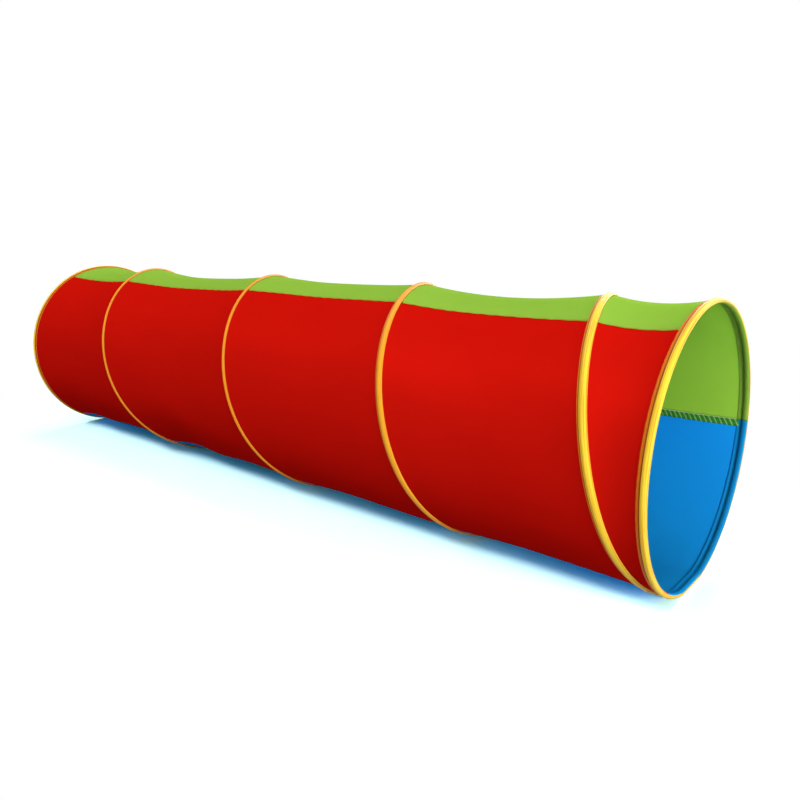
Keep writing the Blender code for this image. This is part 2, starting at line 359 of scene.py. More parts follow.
def wire_inset(turn):
    """The inset of the coil's wire after this many turns. Its pitch grows away from the near end."""
    share = turn / TURNS
    return LENGTH * share * (START_SPACING_SHARE + (1 - START_SPACING_SHARE) * share)


def wires_at(angles):
    """Insets of the coil's turns along the lines of the tube at these angles."""
    part = np.asarray(angles) / (2 * math.pi) % 1
    return np.stack([wire_inset(part + whole) for whole in range(TURNS)])


def bay_at(insets, angles):
    """The distance between the two wires or hems on either side of each point, and its share of the way."""
    insets, angles = np.broadcast_arrays(insets, angles)
    wires = wires_at(angles)
    held = (wires > HEM_INSET) & (wires < LENGTH - HEM_INSET)
    before = np.where(held & (wires <= insets), wires, HEM_INSET).max(axis=0)
    after = np.where(held & (wires > insets), wires, LENGTH - HEM_INSET).min(axis=0)
    return after - before, np.clip((insets - before) / (after - before), 0, 1)


def slack_at(insets, angles):
    """The share of the full slack that hangs there: it changes along the coil, and is least on the floor."""
    top_share = 0.5
    passed = (wires_at(angles) <= insets).sum(axis=0)
    place = passed + np.asarray(angles) / (2 * math.pi) % 1 - top_share
    lowness = (1 + np.cos(angles)) / 2
    bay_share = np.interp(place, range(TURNS + 1), BAY_SLACK_SHARES)
    return bay_share * (1 - (1 - FLOOR_SLACK_SHARE) * lowness**2)


def skin_at(insets, angles):
    """The cloth's outer radius, drawn in between the turns of the wire."""
    span, share = bay_at(insets, angles)
    depth = slack_at(insets, angles) * SLACK_DEPTH * span / (span + SLACK_HALF_SPAN)
    return FABRIC_RADIUS - depth * 4 * share * (1 - share)


def seam_angle(degrees, insets):
    """The angle of a seam along the tube."""
    angle = np.full_like(insets, math.radians(degrees))
    if degrees == CREEPING_SEAM:
        span, share = bay_at(insets, angle)
        creep = np.interp(insets, *zip(*SEAM_CREEPS)) + SEAM_CREEP_PER_METRE * span * 4 * share * (1 - share)
        angle += np.radians(creep)
    return angle


def cloth_noise(insets, angles, width, length, layer):
    """Smooth noise that meets itself all round the tube. Each layer of it is different."""
    around = FABRIC_RADIUS / width
    return noise_at(around * np.cos(angles), around * np.sin(angles), insets / length + layer)


def wrinkles_at(insets, angles, seam_distance):
    """How far the cloth lies under its smooth shape: billows, pulls, foot waves, puckers and ruffles."""
    span, share = bay_at(insets, angles)
    from_wire = span * np.minimum(share, 1 - share)
    drift = cloth_noise(insets, angles, DRIFT_WIDTH, DRIFT_LENGTH, DRIFT_LAYER)
    billows = BILLOW_DEPTH * cloth_noise(insets, angles, BILLOW_WIDTH, BILLOW_LENGTH, BILLOW_LAYER)
    pulls = PULL_DEPTH * cloth_noise(insets, angles, PULL_WIDTH, PULL_LENGTH, PULL_LAYER)
    turned = (angles + math.pi) % (2 * math.pi) - math.pi
    foot = np.exp(-(((turned - FOOT_WAVE_ANGLE) / FOOT_WAVE_REACH) ** 2))
    foot = foot * np.clip((insets - FOOT_WAVE_START) / FOOT_WAVE_RAMP, 0, 1)
    waves = FOOT_WAVE_MEAN_SHARE + noise_at(insets / FOOT_WAVE_LENGTH, *FOOT_WAVE_LAYER)
    foot_waves = FOOT_WAVE_DEPTH * foot * waves
    depth = (billows + pulls + foot_waves) * (1 - np.exp(-from_wire / BILLOW_FREE_LENGTH))
    puckers = round(2 * math.pi * FABRIC_RADIUS / PUCKER_LENGTH)
    pucker = np.sin(puckers * angles + 2 * math.pi * drift) * (PUCKER_MEAN_SHARE + drift)
    depth += PUCKER_DEPTH * pucker * np.exp(-from_wire / PUCKER_REACH)
    ruffle = np.sin(2 * math.pi * (insets / RUFFLE_LENGTH + drift))
    depth += RUFFLE_DEPTH * ruffle * np.exp(-seam_distance / RUFFLE_REACH)
    return depth + SEAM_DIP * np.exp(-((seam_distance / SEAM_DIP_REACH) ** 2))


def tape_height(insets, angles):
    """How high the casing tape's top lies over the cloth, and zero beside it."""
    across, heights = zip(*TAPE_PROFILE)
    wires = wires_at(angles)
    turns = np.arange(TURNS).reshape(-1, *[1] * (wires.ndim - 1)) + np.asarray(angles) / (2 * math.pi) % 1
    shares = np.interp(turns, *zip(*TAPE_WIDTH_SHARES))
    return np.interp((insets - wires) / shares, across, heights, left=0, right=0).max(axis=0)


def grid_mesh(name, points, places, closed=False, flip=False):
    """A mesh through a grid of points, with its places on the cloth, in metres, as a map named Cloth.

    Rows run from +X to -X and columns with the angle, so that its faces look out. Where the columns close
    into a ring, the places have one column more than the points."""
    rows, columns = points.shape[:2]
    wide = columns + 1 if closed else columns
    corner = np.arange(rows * wide).reshape(rows, wide)
    quads = np.stack((corner[:-1, :-1], corner[:-1, 1:], corner[1:, 1:], corner[1:, :-1]), -1).reshape(-1, 4)
    quads = quads[:, ::-1] if flip else quads
    row, column = np.divmod(quads, wide)
    mesh = bpy.data.meshes.new(name)
    mesh.from_pydata(points.reshape(-1, 3).tolist(), [], (row * columns + column % columns).tolist())
    layer = mesh.uv_layers.new(name="Cloth")
    layer.data.foreach_set("uv", places.reshape(-1, 2)[quads.ravel()].astype(np.float32).ravel())
    mesh.shade_smooth()
    return mesh


def add_piece(name, mesh, material, thickness=0.0):
    """A piece of the tunnel, thickened behind its faces, or before them where the thickness is negative."""
    piece = bpy.data.objects.new(name, mesh)
    bpy.context.scene.collection.objects.link(piece)
    mesh.materials.append(material)
    if thickness:
        solid = piece.modifiers.new("Thickness", "SOLIDIFY")
        solid.thickness = thickness
        solid.offset = -1.0
    return piece


def ride_collapse(piece):
    """A piece between the two end hoops is attached to the near end's body, with a mesh of its own."""
    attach(piece, "near_end")
    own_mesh(piece)


def new_group(name, inputs, colours=(), numbers=()):
    """A node group. Its inputs have default values, and it puts out the named colours and numbers."""
    group = bpy.data.node_groups.new(name, "ShaderNodeTree")
    for socket, value in inputs.items():
        kind = "NodeSocketColor" if isinstance(value, tuple) else "NodeSocketFloat"
        group.interface.new_socket(socket, in_out="INPUT", socket_type=kind).default_value = value
    for kind, sockets in (("NodeSocketColor", colours), ("NodeSocketFloat", numbers)):
        for socket in sockets:
            group.interface.new_socket(socket, in_out="OUTPUT", socket_type=kind)
    return group


def add_node(tree, kind, inputs=(), **settings):
    """A shader node. Each of its inputs is a value or another node's output, by name or number."""
    node = tree.nodes.new(kind)
    for name, value in settings.items():
        setattr(node, name, value)
    for name, value in dict(inputs).items():
        if isinstance(value, bpy.types.NodeSocket):
            tree.links.new(value, node.inputs[name])
        else:
            node.inputs[name].default_value = value
    return node


def maths(tree, operation, *values):
    """The output of a Math node. Each input is a number or another node's output."""
    return add_node(tree, "ShaderNodeMath", enumerate(values), operation=operation).outputs[0]


def smooth_step(tree, value, first=0.0, last=1.0):
    """The output of a node that rises smoothly from zero at the first value to one at the last."""
    limits = {"Value": value, "From Min": first, "From Max": last}
    return add_node(tree, "ShaderNodeMapRange", limits, interpolation_type="SMOOTHSTEP").outputs[0]


def mix_colours(tree, share, first, second):
    """The output of a Mix node for colours."""
    mix = add_node(tree, "ShaderNodeMix", data_type="RGBA")
    colours = [socket for socket in mix.inputs if socket.type == "RGBA"]
    for socket, value in zip((mix.inputs[0], *colours), (share, first, second)):
        if isinstance(value, bpy.types.NodeSocket):
            tree.links.new(value, socket)
        else:
            socket.default_value = value
    return next(socket for socket in mix.outputs if socket.type == "RGBA")


def cloth_places(tree):
    """Places on the cloth's map, in metres: both coordinates in one, then the first and the second."""
    cloth = add_node(tree, "ShaderNodeUVMap", uv_map="Cloth")
    split = add_node(tree, "ShaderNodeSeparateXYZ", {0: cloth.outputs[0]})
    return cloth.outputs[0], split.outputs[0], split.outputs[1]


def stretched_noise(tree, places, scales, detail):
    """Noise drawn out by different scales along and across the cloth."""
    stretch = add_node(tree, "ShaderNodeMapping", {0: places, "Scale": (*scales, 1)})
    values = {"Vector": stretch.outputs[0], "Scale": 1.0, "Detail": detail}
    return add_node(tree, "ShaderNodeTexNoise", values, noise_dimensions="2D").outputs[0]


def make_weave_group():
    """Plain-woven cloth: fine crossed threads, thicker threads here and there, and slow changes of colour."""
    streak_scales, streak_detail = ((900, 14), (14, 900)), 2.0
    blotch_scales, blotch_detail = (9, 9), 3.0
    mean_of_three = 1.5
    roughness_share, streak_height_share = 0.1, 0.6
    defaults = {"Colour": (0.5, 0.5, 0.5, 1), "Thread": 0.0008, "Unevenness": 0.06, "Roughness": 0.5}
    group = new_group("plain weave", defaults, colours=["Colour"], numbers=["Roughness", "Height"])
    given = add_node(group, "NodeGroupInput").outputs
    places, along, across = cloth_places(group)
    waves = []
    for run in (along, across):
        threads = maths(group, "DIVIDE", run, given["Thread"])
        waves.append(maths(group, "SINE", maths(group, "MULTIPLY", threads, math.pi)))
    streaks = maths(group, "ADD", *[stretched_noise(group, places, s, streak_detail) for s in streak_scales])
    blotches = stretched_noise(group, places, blotch_scales, blotch_detail)
    spread = maths(group, "SUBTRACT", maths(group, "ADD", streaks, blotches), mean_of_three)
    value = maths(group, "MULTIPLY_ADD", spread, given["Unevenness"], 1.0)
    tint = add_node(group, "ShaderNodeHueSaturation", {"Color": given["Colour"], "Value": value})
    rough = maths(group, "MULTIPLY_ADD", spread, roughness_share, given["Roughness"])
    height = maths(group, "MULTIPLY_ADD", streaks, streak_height_share, maths(group, "MULTIPLY", *waves))
    add_node(group, "NodeGroupOutput", {"Colour": tint.outputs[0], "Roughness": rough, "Height": height})
    return group


def make_sewn_shade_group():
    """Colour of a sewn tape with painted shade: orange streaks along it for the shade in its creases, the
    same orange over its far turns, a dark painted shade in the groove on its seam, and a deeper orange
    painted shade on its folded edge beyond.
    """
    streak_scales, streak_detail = (7, 520), 1.0
    streak_from, streak_to = 0.45, 0.75
    groove_outer_share, groove_inner_share = 1.2, 0.4
    defaults = {
        "Colour": (0.9, 0.6, 0.05, 1),
        "Orange Shade Colour": (0.8, 0.4, 0.02, 1),
        "Edge Shade Colour": (0.6, 0.25, 0.02, 1),
        "Groove Shade Colour": (0.2, 0.08, 0.01, 1),
        "Groove Place": 0.007,
        "Groove Width": 0.001,
        "Edge Side": 1.0,
        "Orange From": 100.0,
        "Orange To": 101.0,
    }
    group = new_group("sewn edge shade", defaults, colours=["Colour"])
    given = add_node(group, "NodeGroupInput").outputs
    places, along, across = cloth_places(group)
    # Painted orange shade over the far turns of the coil, from none at Orange From to full at Orange To
    ends = {"Value": along, "From Min": given["Orange From"], "From Max": given["Orange To"]}
    orange_share = add_node(group, "ShaderNodeMapRange", ends).outputs[0]
    far_turn_shade = mix_colours(group, orange_share, given["Colour"], given["Orange Shade Colour"])
    # Painted shade: orange streaks laid at random along the tape, for the shade in its fine creases
    streaks = stretched_noise(group, places, streak_scales, streak_detail)
    streaks = smooth_step(group, streaks, streak_from, streak_to)
    crease_shaded = mix_colours(group, streaks, far_turn_shade, given["Orange Shade Colour"])
    # Painted shade: dark brown in the groove, and a deeper orange on the edge beyond it
    past = maths(group, "SUBTRACT", across, given["Groove Place"])
    steps = maths(group, "DIVIDE", maths(group, "MULTIPLY", past, given["Edge Side"]), given["Groove Width"])
    groove = smooth_step(group, maths(group, "ABSOLUTE", steps), groove_outer_share, groove_inner_share)
    edge_shaded = mix_colours(group, smooth_step(group, steps), crease_shaded, given["Edge Shade Colour"])
    groove_shaded = mix_colours(group, groove, edge_shaded, given["Groove Shade Colour"])
    add_node(group, "NodeGroupOutput", {"Colour": groove_shaded})
    return group


def make_overlock_group():
    """Colour of an overlocked edge: slanting loops of thread over the cloth."""
    middle_share, loop_outer_share, loop_inner_share = 0.5, 0.2, 0.1
    defaults = {"Colour": (0.1, 0.3, 0.1, 1), "Loop Colour": (0.4, 0.6, 0.3, 1), "Pitch": OVERLOCK_PITCH}
    group = new_group("overlock loops", defaults, colours=["Colour"])
    given = add_node(group, "NodeGroupInput").outputs
    _, across, along = cloth_places(group)
    slant = maths(group, "MULTIPLY_ADD", across, OVERLOCK_SLANT_SHARE, along)
    loops = maths(group, "FRACT", maths(group, "DIVIDE", slant, given["Pitch"]))
    from_middle = maths(group, "ABSOLUTE", maths(group, "SUBTRACT", loops, middle_share))
    thread = smooth_step(group, from_middle, loop_outer_share, loop_inner_share)
    looped = mix_colours(group, thread, given["Colour"], given["Loop Colour"])
    add_node(group, "NodeGroupOutput", {"Colour": looped})
    return group


def make_cloth(name, weave, colour, look, pattern=None, through=0.0, glow=(1, 1, 1)):
    """A woven material. A pattern is a colour group and its values, through is the share of light that
    passes, and glow the colour of that light and of the gloss."""
    material = bpy.data.materials.new(name)
    material.use_nodes = True
    tree = material.node_tree
    shader = tree.nodes["Principled BSDF"]
    colour = (*colour, 1)
    if pattern:
        group, values = pattern
        colour = add_node(tree, "ShaderNodeGroup", {"Colour": colour, **values}, node_tree=group).outputs[0]
    values = {"Thread": look["thread"], "Unevenness": look["unevenness"], "Roughness": look["roughness"]}
    threads = add_node(tree, "ShaderNodeGroup", {"Colour": colour, **values}, node_tree=weave).outputs
    depth = look["thread"] * WEAVE_DEPTH_SHARE
    bump = {"Strength": look["relief"], "Distance": depth, "Height": threads["Height"]}
    relief = add_node(tree, "ShaderNodeBump", bump)
    tree.links.new(threads["Colour"], shader.inputs["Base Color"])
    tree.links.new(threads["Roughness"], shader.inputs["Roughness"])
    tree.links.new(relief.outputs[0], shader.inputs["Normal"])
    shader.inputs["Specular IOR Level"].default_value = look["gloss"]
    shader.inputs["Specular Tint"].default_value = (*glow, 1)
    shader.inputs["Metallic"].default_value = look["lustre"]
    if through:
        passed = add_node(tree, "ShaderNodeBsdfTranslucent", {"Color": (*glow, 1)})
        mix = add_node(tree, "ShaderNodeMixShader", {0: through, 1: shader.outputs[0], 2: passed.outputs[0]})
        tree.links.new(mix.outputs[0], tree.nodes["Material Output"].inputs["Surface"])
    return material


def make_metal(name, colour, roughness, grain):
    """Drawn or crimped metal, a little uneven."""
    material = bpy.data.materials.new(name)
    material.use_nodes = True
    tree = material.node_tree
    shader = tree.nodes["Principled BSDF"]
    shader.inputs["Base Color"].default_value = (*colour, 1)
    shader.inputs["Metallic"].default_value = 1.0
    place = add_node(tree, "ShaderNodeTexCoord")
    speckle = add_node(tree, "ShaderNodeTexNoise", {"Vector": place.outputs["Object"], "Scale": grain})
    low, high = (roughness * share for share in METAL_ROUGHNESS_SHARES)
    limits = {"Value": speckle.outputs[0], "To Min": low, "To Max": high}
    spread = add_node(tree, "ShaderNodeMapRange", limits)
    tree.links.new(spread.outputs[0], shader.inputs["Roughness"])
    return material


def make_tape_materials(weave, groove):
    """The casing tape, which takes a painted orange shade along the coil, and the end bindings, both with
    painted shade in their creases, in their groove and on their edge.
    """
    tape_groove = {"Groove Place": TAPE_GROOVE, "Groove Width": TAPE_GROOVE_WIDTH, "Edge Side": 1.0}
    binding_groove = {"Groove Place": BINDING_GROOVE, "Groove Width": BINDING_GROOVE_WIDTH, "Edge Side": -1.0}
    tape, bound = {**SEWN_SHADE_COLOURS, **tape_groove}, {**SEWN_SHADE_COLOURS, **binding_groove}
    for end, turn in zip(("Orange From", "Orange To"), TAPE_ORANGE_TURNS):
        tape[end] = turn * 2 * math.pi * OUTER_RADIUS
    return {
        "tape": make_cloth("yellow casing tape", weave, YELLOW, RIBBON, (groove, tape), glow=GOLD),
        "binding": make_cloth("yellow binding", weave, YELLOW, RIBBON, (groove, bound), glow=GOLD),
    }


def make_materials():
    """All materials of the tunnel, by short names."""
    weave, groove, overlock = make_weave_group(), make_sewn_shade_group(), make_overlock_group()
    materials = {}
    for name, (colour, through, glow) in CLOTH_SHARES.items():
        materials[name] = make_cloth(f"{name} nylon", weave, colour, NYLON, through=through, glow=glow)
    materials.update(make_tape_materials(weave, groove))
    for name, (colour, loops) in OVERLOCKS.items():
        pattern = (overlock, {"Loop Colour": (*loops, 1)})
        materials[f"{name} overlock"] = make_cloth(f"{name} overlock", weave, colour, EDGING, pattern)
    materials["thread"] = make_cloth("yellow thread", weave, THREAD_COLOUR, RIBBON)
    for name, metal in METALS.items():
        materials[name] = make_metal(*metal)
    return materials


def make_panel(colour, material):
    """One long panel of the tube, from hem to hem, with more columns near its seams."""
    half_gap = LAYER_GAP / FABRIC_RADIUS
    rows = round((LENGTH - 2 * HEM_INSET) / ROW_SPACING) + 1
    insets = np.linspace(HEM_INSET, LENGTH - HEM_INSET, rows)[:, None]
    first, last = (seam_angle(degrees, insets) for degrees in PANEL_ANGLES[colour])
    share = np.linspace(0, 1, PANEL_COLUMNS)
    share += SEAM_CROWDING_SHARE * (3 * share**2 - 2 * share**3 - share)
    angles = first + half_gap + (last - first - 2 * half_gap) * share
    seam_distance = np.minimum(angles - first, last - angles) * FABRIC_RADIUS
    radii = skin_at(insets, angles) - wrinkles_at(insets, angles, seam_distance)
    places = np.stack(np.broadcast_arrays(angles * FABRIC_RADIUS, insets), -1)
    mesh = grid_mesh(f"{colour}_panel", place_at(insets, radii, angles), places)
    panel = add_piece(f"{colour}_panel", mesh, material, CLOTH_THICKNESS)
    ride_collapse(panel)
    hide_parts(*[f"{colour}_panel_bay_{bay}" for bay in range(TURNS + 1)])
    return panel


def tape_turns():
    """Turns at which the casing tape starts and ends, just inside the flanges of the end bindings."""
    turns = np.linspace(0, TURNS, TURNS * TURN_SEARCH_STEPS + 1)
    insets = wire_inset(turns)
    inside = turns[(insets > TAPE_END_INSET) & (insets < LENGTH - TAPE_END_INSET)]
    return inside[0], inside[-1]


def tape_surface(turns, across):
    """Points on top of the casing tape, some way across it, and their angles."""
    places, heights = zip(*TAPE_PROFILE)
    height = np.interp(across, places, heights)
    angles = 2 * math.pi * turns
    width_shares = np.interp(turns, *zip(*TAPE_WIDTH_SHARES))
    insets = wire_inset(turns) + across * width_shares
    insets = np.clip(insets, HEM_INSET + TAPE_END_GAP, LENGTH - HEM_INSET - TAPE_END_GAP)
    radii = skin_at(insets, angles) + height
    under_flange = np.minimum(insets, LENGTH - insets) < FLANGE_PROFILE[0][0] + TAPE_TUCK_REACH
    radii = np.where(under_flange, np.minimum(radii, OUTER_RADIUS - TAPE_TUCK_DEPTH), radii)
    lump = TAPE_LUMP * noise_at(angles * LUMPS_PER_RADIAN, across * TAPE_LUMPS_PER_METRE, TAPE_LAYER)
    return place_at(insets, radii + lump * (height > TAPE_LUMP_LEAST_HEIGHT), angles), angles


def make_casing_tape(material):
    """The tape sewn over the coil, in one piece from end to end."""
    start, end = tape_turns()
    turns = np.linspace(start, end, round((end - start) * TURN_COLUMNS))
    across = [place for place, _ in TAPE_PROFILE]
    points = np.stack([tape_surface(turns, place)[0] for place in across])
    places = np.stack(np.meshgrid(turns * 2 * math.pi * OUTER_RADIUS, across), -1)
    mesh = grid_mesh("casing_tape", points, places)
    tape = add_piece("casing_tape", mesh, material, TAPE_THICKNESS)
    ride_collapse(tape)
    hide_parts(*[f"coil_tape_{turn + 1}" for turn in range(TURNS)])
    return tape


def make_coil_wire(material):
    """The spring wire of all turns, inside the casing tape."""
    turns = np.linspace(0, TURNS, TURNS * TURN_COLUMNS + 1)
    angles = 2 * math.pi * turns
    insets = np.clip(wire_inset(turns), HEM_INSET - COIL_END_RUN, LENGTH - HEM_INSET + COIL_END_RUN)
    sides = np.linspace(0, 2 * math.pi, WIRE_SIDES + 1)
    rows = []
    for side in sides[:-1]:
        radius = COIL_RADIUS + WIRE_RADIUS * math.cos(side)
        rows.append(place_at(insets - WIRE_RADIUS * math.sin(side), radius, angles))
    points = np.stack(rows, axis=1)
    places = np.stack(np.meshgrid(sides * WIRE_RADIUS, turns * 2 * math.pi * COIL_RADIUS), -1)
    mesh = grid_mesh("coil_wire", points, places, closed=True, flip=True)
    wire = add_piece("coil_wire", mesh, material)
    ride_collapse(wire)
    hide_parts(*[f"coil_wire_{turn + 1}" for turn in range(TURNS)])


def roll_points(radius, first, last, count):
    """Insets and radii round the rolled hem. Zero degrees is its top and 90 its front."""
    for angle in np.radians(np.linspace(first, last, count)):
        yield ROLL_RADIUS - radius * math.sin(angle), OUTER_RADIUS - ROLL_RADIUS + radius * math.cos(angle)


def ring_piece(name, rows, angles, far, closed, material, thickness):
    """A piece round one end of the tube. Each row gives an inset and its radii on all angles."""
    travelled, points, places = 0.0, [], []
    previous = None
    for inset, radii in rows:
        middle = np.array((inset, np.mean(radii)))
        travelled += 0 if previous is None else np.linalg.norm(middle - previous)
        previous = middle
        points.append(place_at(LENGTH - inset if far else inset, radii, angles))
        run = np.append(angles, angles[0] + 2 * math.pi) if closed else angles
        places.append(np.stack((run * OUTER_RADIUS, np.full_like(run, travelled)), -1))
    mesh = grid_mesh(name, np.stack(points), np.stack(places), closed=closed, flip=not far)
    return add_piece(name, mesh, material, thickness)


def flange_radii(inset, height, angles):
    """Radii of a binding's flange: this high over the cloth, and over the casing tape where that runs in."""
    skin, tape = skin_at(inset, angles), tape_height(inset, angles)
    over_tape = np.where(tape > 0, np.minimum(skin + tape + FLANGE_LIFT, OUTER_RADIUS), 0)
    return np.maximum(skin + height, over_tape)


def make_binding(side, far, material):
    """The yellow binding over the outside and front of the roll, with its flange sewn to the cloth."""
    angles = np.linspace(0, 2 * math.pi, RING_COLUMNS, endpoint=False)
    around = LUMPS_PER_RADIAN * np.cos(angles), LUMPS_PER_RADIAN * np.sin(angles)
    lump = BINDING_LUMP * noise_at(*around, BINDING_LAYER)
    rows = []
    for inset, height in FLANGE_PROFILE:
        rows.append((inset, flange_radii(LENGTH - inset if far else inset, height, angles)))
    for inset, radius in roll_points(ROLL_RADIUS, *BINDING_ANGLES, BINDING_ROWS):
        rows.append((inset, radius + lump))
    name = f"{side}_bound_edge"
    piece = ring_piece(name, rows, angles, far, True, material, BINDING_THICKNESS)
    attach(piece, side)
    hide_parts(f"{side}_binding")
    return piece


def make_hem(side, far, colour, material):
    """The end of one panel, turned over the hoop and sewn down inside."""
    end = np.array(LENGTH if far else 0.0)
    first, last = (seam_angle(degrees, end) for degrees in PANEL_ANGLES[colour])
    half_gap = LAYER_GAP / FABRIC_RADIUS
    angles = np.linspace(first + half_gap, last - half_gap, PANEL_COLUMNS)
    seam = np.minimum(angles - first, last - angles) * FABRIC_RADIUS
    bulk = HEM_BULK * np.exp(-((seam / HEM_BULK_REACH) ** 2))
    ripple = HEM_RIPPLE * noise_at(angles * FABRIC_RADIUS / HEM_RIPPLE_LENGTH, *HEM_LAYERS[side])
    covered = ROLL_RADIUS - BINDING_THICKNESS - LAYER_GAP
    bare = ROLL_RADIUS - 2 * LAYER_GAP
    ((_, binding_edge),) = roll_points(covered, BINDING_ANGLES[1], BINDING_ANGLES[1], 1)
    rows = []
    for degrees in np.linspace(*HEM_ANGLES, HEM_ROWS):
        hidden = degrees < BINDING_ANGLES[1]
        ((inset, radius),) = roll_points(covered if hidden else bare, degrees, degrees, 1)
        inward = max(0, binding_edge - radius)
        rows.append((inset, radius + inward * (1 - HEM_INNER_SHARE) - bulk * (not hidden)))
    for inset, depth in HEM_TAIL:
        rows.append((inset, FABRIC_RADIUS - depth - bulk + ripple))
    name = f"{side}_{colour}_hem"
    piece = ring_piece(name, rows, angles, far, False, material, CLOTH_THICKNESS)
    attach(piece, side)
    return piece


def make_seam_allowance(name, degrees, direction, material):
    """The overlocked edges of two panels, folded flat inside the tube."""
    across = np.linspace(0, ALLOWANCE_WIDTH, ALLOWANCE_COLUMNS)
    start = HEM_TAIL[-1][0] - ALLOWANCE_TUCK
    insets = np.linspace(start, LENGTH - start, ALLOWANCE_ROWS)
    rows = np.empty((len(insets), ALLOWANCE_COLUMNS, 3))
    for column, run in enumerate(across):
        angle = seam_angle(degrees, insets) + direction * run / FABRIC_RADIUS
        slant = insets + OVERLOCK_SLANT_SHARE * run
        loops = OVERLOCK_LOOP_HEIGHT * np.sin(2 * math.pi * slant / OVERLOCK_PITCH)
        wave = ALLOWANCE_WAVE * noise_at(insets / ALLOWANCE_WAVE_LENGTH, run / ALLOWANCE_WAVE_WIDTH, degrees)
        wave = wave * run / ALLOWANCE_WIDTH
        swell = ALLOWANCE_SWELL * math.sin(math.pi * run / ALLOWANCE_WIDTH)
        depth = CLOTH_THICKNESS + ALLOWANCE_LIFT + swell + loops + wave
        cloth = skin_at(insets, angle) - wrinkles_at(insets, angle, np.full_like(insets, run))
        rows[:, column] = place_at(insets, cloth - depth, angle)
    places = np.stack(np.meshgrid(across, insets), -1)
    mesh = grid_mesh(name, rows, places, flip=direction > 0)
    piece = add_piece(name, mesh, material, -ALLOWANCE_THICKNESS)
    ride_collapse(piece)
    return piece


def thread_faces(rings, sides):
    """The corners of each face of one stitch: a tube of rings, closed at both ends."""
    last = (rings - 1) * sides
    faces = [tuple(range(sides)), tuple(reversed(range(last, last + sides)))]
    for start in range(0, last, sides):
        for side in range(sides):
            a, b = start + side, start + (side + 1) % sides
            faces.append((a, a + sides, b + sides, b))
    return faces


def stitch_mesh(name, lines):
    """Lockstitches along lines of points: each is a short thread that dips into the cloth at both ends."""
    lifts, place_shares = np.array(STITCH_LIFTS), np.array(STITCH_PLACE_SHARES)
    stitches = []
    for points, normals in lines:
        steps = np.linalg.norm(np.diff(points, axis=0), axis=1)
        run = np.concatenate(([0.0], np.cumsum(steps)))
        starts = np.arange(0, run[-1] - STITCH_LENGTH, STITCH_PITCH)
        at = starts[:, None] + place_shares[None, :] * STITCH_LENGTH
        centre = np.stack([np.interp(at, run, points[:, i]) for i in range(3)], -1)
        up = np.stack([np.interp(at, run, normals[:, i]) for i in range(3)], -1)
        centre += up * lifts[None, :, None]
        side = np.cross(centre[:, -1:] - centre[:, :1], up)
        side /= np.linalg.norm(side, axis=-1, keepdims=True)
        ring = [centre + THREAD_RADIUS * way for way in (side, up, -side, -up)]
        stitches.append(np.stack(ring, axis=2).reshape(-1, len(lifts) * len(ring), 3))
    stitches = np.concatenate(stitches)
    one = np.array(thread_faces(len(lifts), len(ring)))
    first_corners = stitches.shape[1] * np.arange(len(stitches))
    faces = (one[None] + first_corners[:, None, None]).reshape(-1, 4)
    mesh = bpy.data.meshes.new(name)
    mesh.from_pydata(stitches.reshape(-1, 3).tolist(), [], faces.tolist())
    layer = mesh.uv_layers.new(name="Cloth")
    flat = stitches.reshape(-1, 3)[faces.ravel()][:, :2]
    layer.data.foreach_set("uv", flat.astype(np.float32).ravel())
    mesh.shade_smooth()
    return mesh


def make_tape_stitching(material):
    """Two rows of stitches that hold the casing tape on either side of the wire."""
    start, end = tape_turns()
    turns = np.linspace(start, end, round((end - start) * TURN_COLUMNS * STITCH_FINENESS))
    lines = []
    for across in TAPE_STITCHES:
        points, angles = tape_surface(turns, across)
        lines.append((points, outward(angles)))
    piece = add_piece("tape_stitching", stitch_mesh("tape_stitching", lines), material)
    ride_collapse(piece)


def make_end_stitching(side, far, material):
    """One row of stitches round the end: its top shows on the flange, its underside on the hem inside."""
    angles = np.linspace(0, 2 * math.pi, STITCH_FINENESS * RING_COLUMNS)
    inset = LENGTH - BINDING_STITCH_INSET if far else BINDING_STITCH_INSET
    radii = flange_radii(inset, np.interp(BINDING_STITCH_INSET, *zip(*reversed(FLANGE_PROFILE))), angles)
    radii = np.minimum(radii, OUTER_RADIUS - STITCH_DIP - THREAD_RADIUS)
    lines = [(place_at(inset, radii, angles), outward(angles))]
    inset = LENGTH - HEM_STITCH_INSET if far else HEM_STITCH_INSET
    radii = np.full_like(angles, FABRIC_RADIUS - HEM_STITCH_DEPTH)
    lines.append((place_at(inset, radii, angles), -outward(angles)))
    piece = add_piece(f"{side}_stitching", stitch_mesh(f"{side}_stitching", lines), material)
    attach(piece, side)


def make_tunnel(materials):
    """All pieces of the tunnel. The hoops and ferrules stay the frame's own solids, in metal."""
    panels = [make_panel(colour, materials[colour]) for colour in PANEL_ANGLES]
    make_coil_wire(materials["steel"])
    tape = make_casing_tape(materials["tape"])
    make_tape_stitching(materials["thread"])
    bindings, hems, allowances = [], [], []
    for side, far in (("near_end", False), ("far_end", True)):
        bindings.append(make_binding(side, far, materials["binding"]))
        hems += [make_hem(side, far, colour, materials[colour]) for colour in PANEL_ANGLES]
        make_end_stitching(side, far, materials["thread"])
    for pair, (degrees, colour, direction) in SEAMS.items():
        name = f"{pair}_seam_allowance"
        cloth = materials[f"{colour} overlock"]
        allowances.append(make_seam_allowance(name, degrees, direction, cloth))
    for node, finish in (("hoop", "steel"), ("ferrule", "crimp")):
        for side in ("near_end", "far_end"):
            frame["nodes"][f"{side}_{node}"].material_slots[0].material = materials[finish]


def seen_by_eye(tree):
    """One for rays that show the background: from the camera, in gloss or through glass."""
    path = add_node(tree, "ShaderNodeLightPath").outputs
    gloss = maths(tree, "MAXIMUM", path["Is Camera Ray"], path["Is Glossy Ray"])
    return maths(tree, "MAXIMUM", gloss, path["Is Transmission Ray"])


